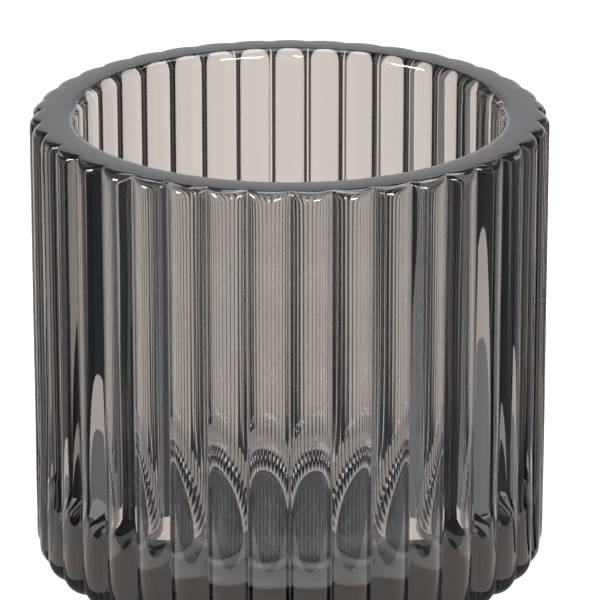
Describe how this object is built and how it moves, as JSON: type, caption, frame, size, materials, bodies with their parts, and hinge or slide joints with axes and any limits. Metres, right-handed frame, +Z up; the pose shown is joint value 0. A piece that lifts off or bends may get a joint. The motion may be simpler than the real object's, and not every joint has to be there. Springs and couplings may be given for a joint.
{
  "type": "glass candle holder",
  "caption": "Thick round smoke-grey pressed-glass tealight holder with upright round ribs outside and a smooth straight well for a candle.",
  "frame": {"origin": "centre of the underside, on the surface that it stands on", "axes": "+Z up along the axis of the well; -Y is the side with a groove in the middle, +Y the side with a rib crest"},
  "size_m": [0.08, 0.0799, 0.0725],
  "materials": {
    "smoke_glass": "clear fire-polished smoke-grey glass"
  },
  "bodies": {
    "root": {"glass_holder": "smoke_glass"}
  },
  "joints": []
}
